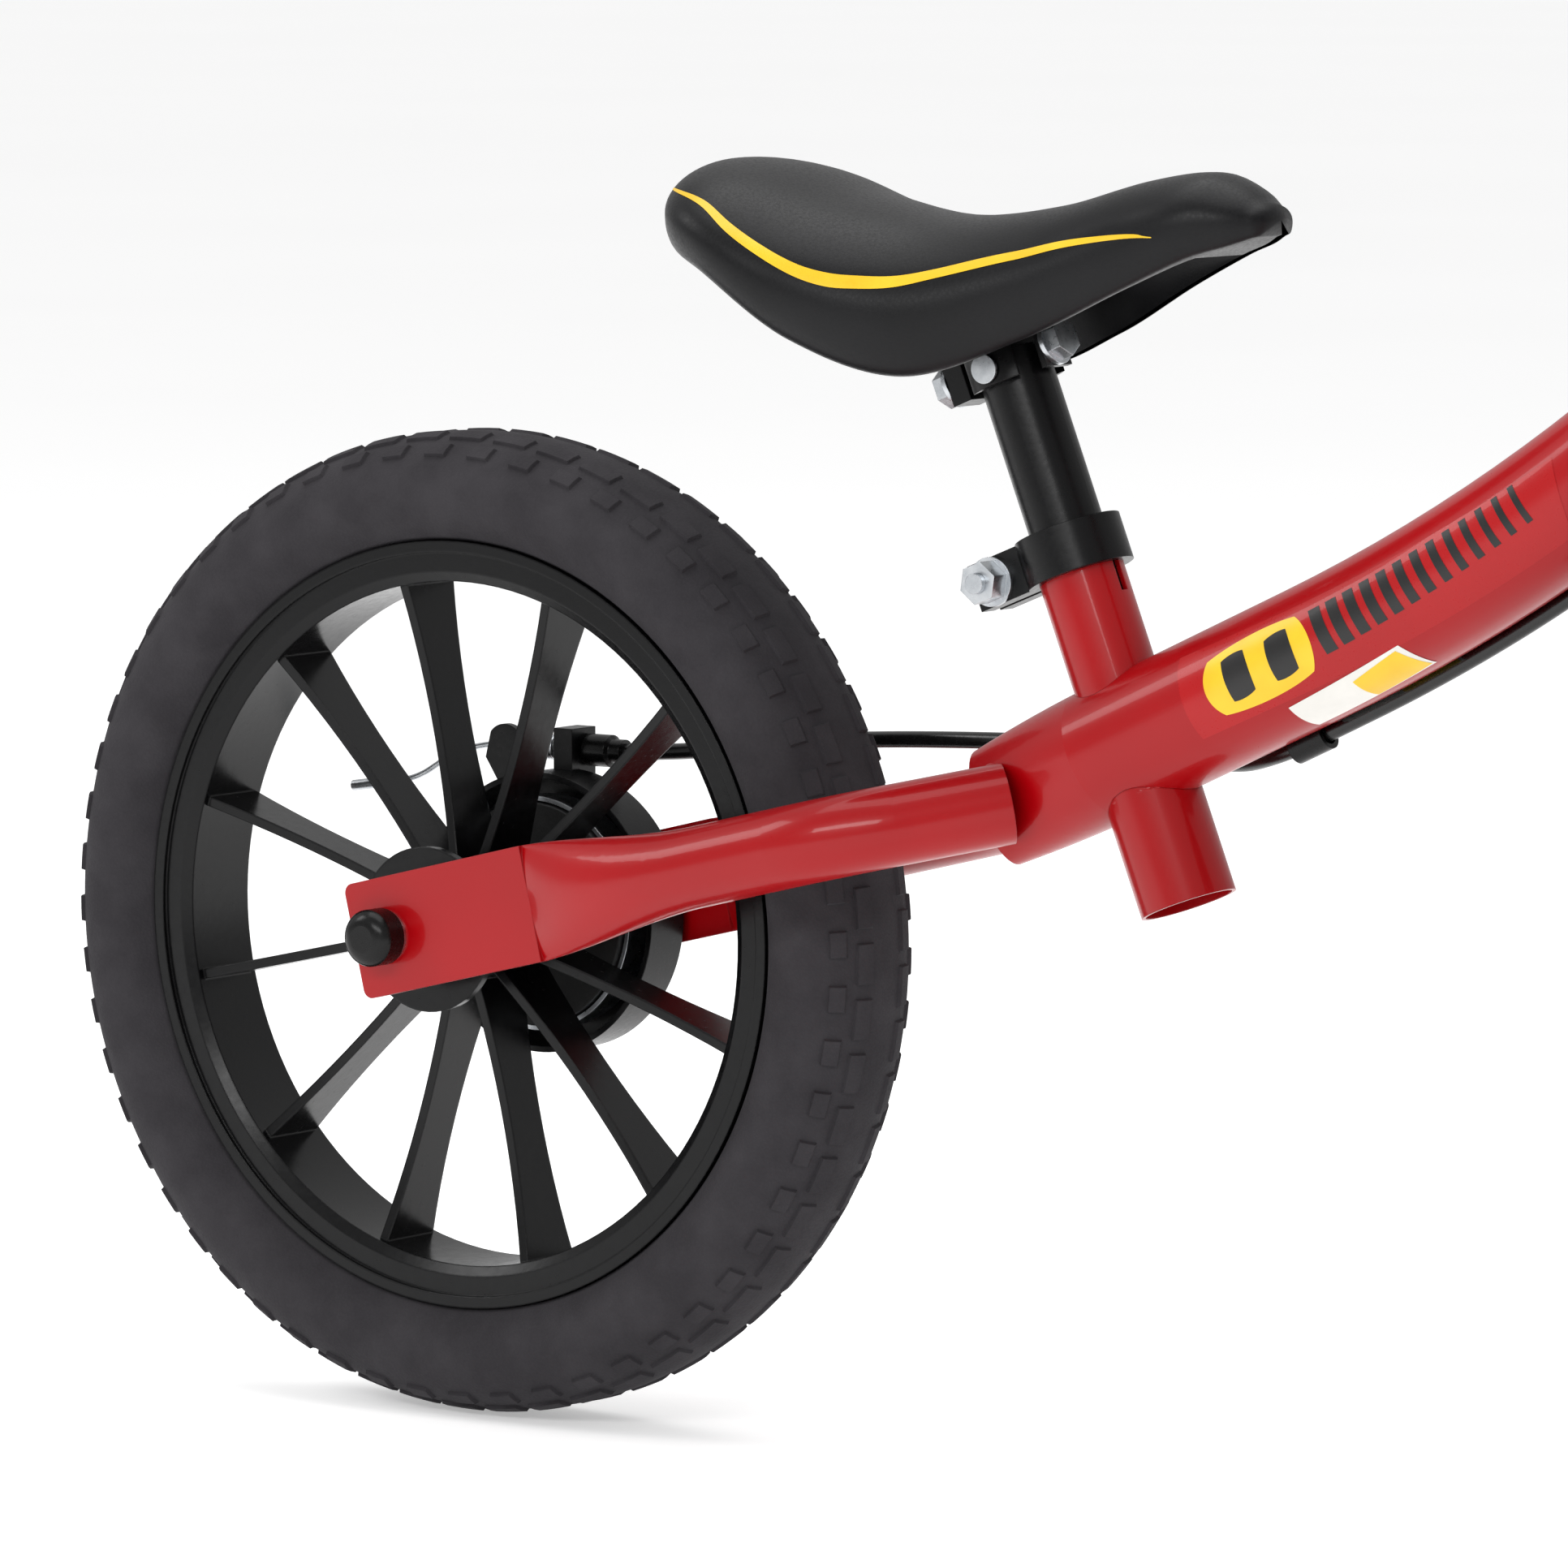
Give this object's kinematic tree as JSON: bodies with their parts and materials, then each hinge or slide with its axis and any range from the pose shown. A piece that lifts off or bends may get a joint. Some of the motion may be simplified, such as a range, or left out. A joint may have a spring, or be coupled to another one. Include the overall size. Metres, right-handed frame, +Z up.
{
  "type": "balance bike",
  "caption": "Child's balance bike with foam-tyred moulded wheels, a curved red steel frame, a band brake on the rear hub, and adjustable saddle and handlebar.",
  "frame": {"origin": "on the ground, midway between the two axles, on the bike's middle plane", "axes": "+X forward, +Y to the rider's left, +Z up"},
  "size_m": [0.85, 0.4292, 0.5508],
  "materials": {
    "frame_paint": "glossy candy red enamel",
    "black_paint": "satin black powder coat",
    "tyre_foam": "matt closed-cell foam",
    "wheel_plastic": "glossy moulded plastic",
    "zinc_steel": "bright zinc plate",
    "bearing_steel": "ground bearing steel",
    "yellow_zinc": "yellow zinc plate",
    "grip_rubber": "matt rubber",
    "saddle_skin": "satin polyurethane skin",
    "black_plastic": "moulded plastic",
    "cast_drum": "black cast drum",
    "cable_jacket": "smooth cable jacket"
  },
  "bodies": {
    "frame": {"main_tube": "frame_paint", "seat_tube": "frame_paint", "accessory_socket": "frame_paint", "head_tube": "frame_paint", "chainstay_left": "frame_paint", "chainstay_right": "frame_paint", "headset_lower_cup": "black_paint", "headset_upper_cup": "black_paint", "headset_ball_rings": "bearing_steel", "seat_collar": "black_paint", "seat_collar_bolt": "zinc_steel", "seat_collar_nut": "zinc_steel", "rear_axle": "zinc_steel", "rear_axle_spacers": "zinc_steel", "rear_axle_nuts": "zinc_steel", "rear_axle_caps": "black_plastic", "brake_housing": "black_paint", "brake_adjuster": "black_plastic", "brake_band": "zinc_steel", "brake_cable_rear": "cable_jacket", "brake_cable_front": "cable_jacket", "cable_clips": "black_plastic"},
    "rear_wheel": {"rear_tyre": "tyre_foam", "rear_wheel_casting": "wheel_plastic", "rear_wheel_bearings": "bearing_steel", "brake_drum": "cast_drum"},
    "fork": {"fork_steerer": "black_paint", "fork_blade_left": "frame_paint", "fork_blade_right": "frame_paint", "fork_crown_race": "black_paint", "headset_adjusting_race": "black_paint", "headset_locknut": "black_paint", "front_axle": "zinc_steel", "front_axle_spacers": "zinc_steel", "front_axle_nuts": "zinc_steel", "front_axle_caps": "black_plastic"},
    "front_wheel": {"front_tyre": "tyre_foam", "front_wheel_casting": "wheel_plastic", "front_wheel_bearings": "bearing_steel"},
    "stem": {"handlebar_stem": "black_paint", "stem_pinch_bolt": "zinc_steel", "stem_expander_bolt": "zinc_steel", "stem_wedge": "zinc_steel"},
    "handlebar": {"handlebar": "black_paint", "grip_left": "grip_rubber", "grip_right": "grip_rubber", "brake_lever_bracket": "black_paint", "brake_lever_pin": "zinc_steel", "brake_lever_adjuster": "black_plastic"},
    "brake_lever": {"brake_lever": "black_paint"},
    "brake_arm": {"brake_arm": "black_paint", "brake_anchor_bolt": "yellow_zinc", "brake_inner_wire": "zinc_steel", "brake_wire_tail": "zinc_steel", "brake_return_spring": "zinc_steel"},
    "seatpost": {"seatpost": "black_paint"},
    "saddle": {"saddle": "saddle_skin", "saddle_boss": "black_plastic", "saddle_clamp": "black_paint", "saddle_clamp_bolts": "zinc_steel"}
  },
  "joints": [
    {"name": "rear_wheel_spin", "type": "hinge", "parent": "frame", "child": "rear_wheel", "pos_m": [-0.275, 0, 0.15], "axis": [0, 1, 0], "continuous": true},
    {"name": "steering", "type": "hinge", "parent": "frame", "child": "fork", "pos_m": [0.17812, 0, 0.32704], "axis": [-0.3584, 0, 0.9336], "range_deg": [-60, 60], "deforming": ["brake_cable_front"]},
    {"name": "front_wheel_spin", "type": "hinge", "parent": "fork", "child": "front_wheel", "pos_m": [0.275, 0, 0.15], "axis": [0, 1, 0], "continuous": true},
    {"name": "stem_height", "type": "slide", "parent": "fork", "child": "stem", "axis": [-0.3584, 0, 0.9336], "range_m": [-0.01, 0.02], "deforming": ["brake_cable_front"]},
    {"name": "handlebar_tilt", "type": "hinge", "parent": "stem", "child": "handlebar", "pos_m": [0.16141, 0, 0.45987], "axis": [0, 1, 0], "range_deg": [-20, 20], "deforming": ["brake_cable_front"]},
    {"name": "brake_lever_pull", "type": "hinge", "parent": "handlebar", "child": "brake_lever", "pos_m": [0.1583, -0.12709, 0.52051], "axis": [-0.3488, 0.0816, -0.9336], "range_deg": [0, 18], "stiffness_Nm_per_rad": 0.5, "springref_deg": -11.46},
    {"name": "brake_arm_swing", "type": "hinge", "parent": "frame", "child": "brake_arm", "pos_m": [-0.287, 0.044, 0.176], "axis": [0, 1, 0], "range_deg": [0, 12], "deforming": ["brake_return_spring", "brake_inner_wire"]},
    {"name": "seat_height", "type": "slide", "parent": "frame", "child": "seatpost", "axis": [-0.373, 0, 0.9278], "range_m": [-0.022, 0.018]},
    {"name": "saddle_tilt", "type": "hinge", "parent": "seatpost", "child": "saddle", "pos_m": [-0.08139, 0, 0.3249], "axis": [0, 1, 0], "range_deg": [-8, 8]}
  ],
  "couplings": [
    {"joint": "brake_arm_swing", "follows": "brake_lever_pull", "ratio": 0.6}
  ]
}
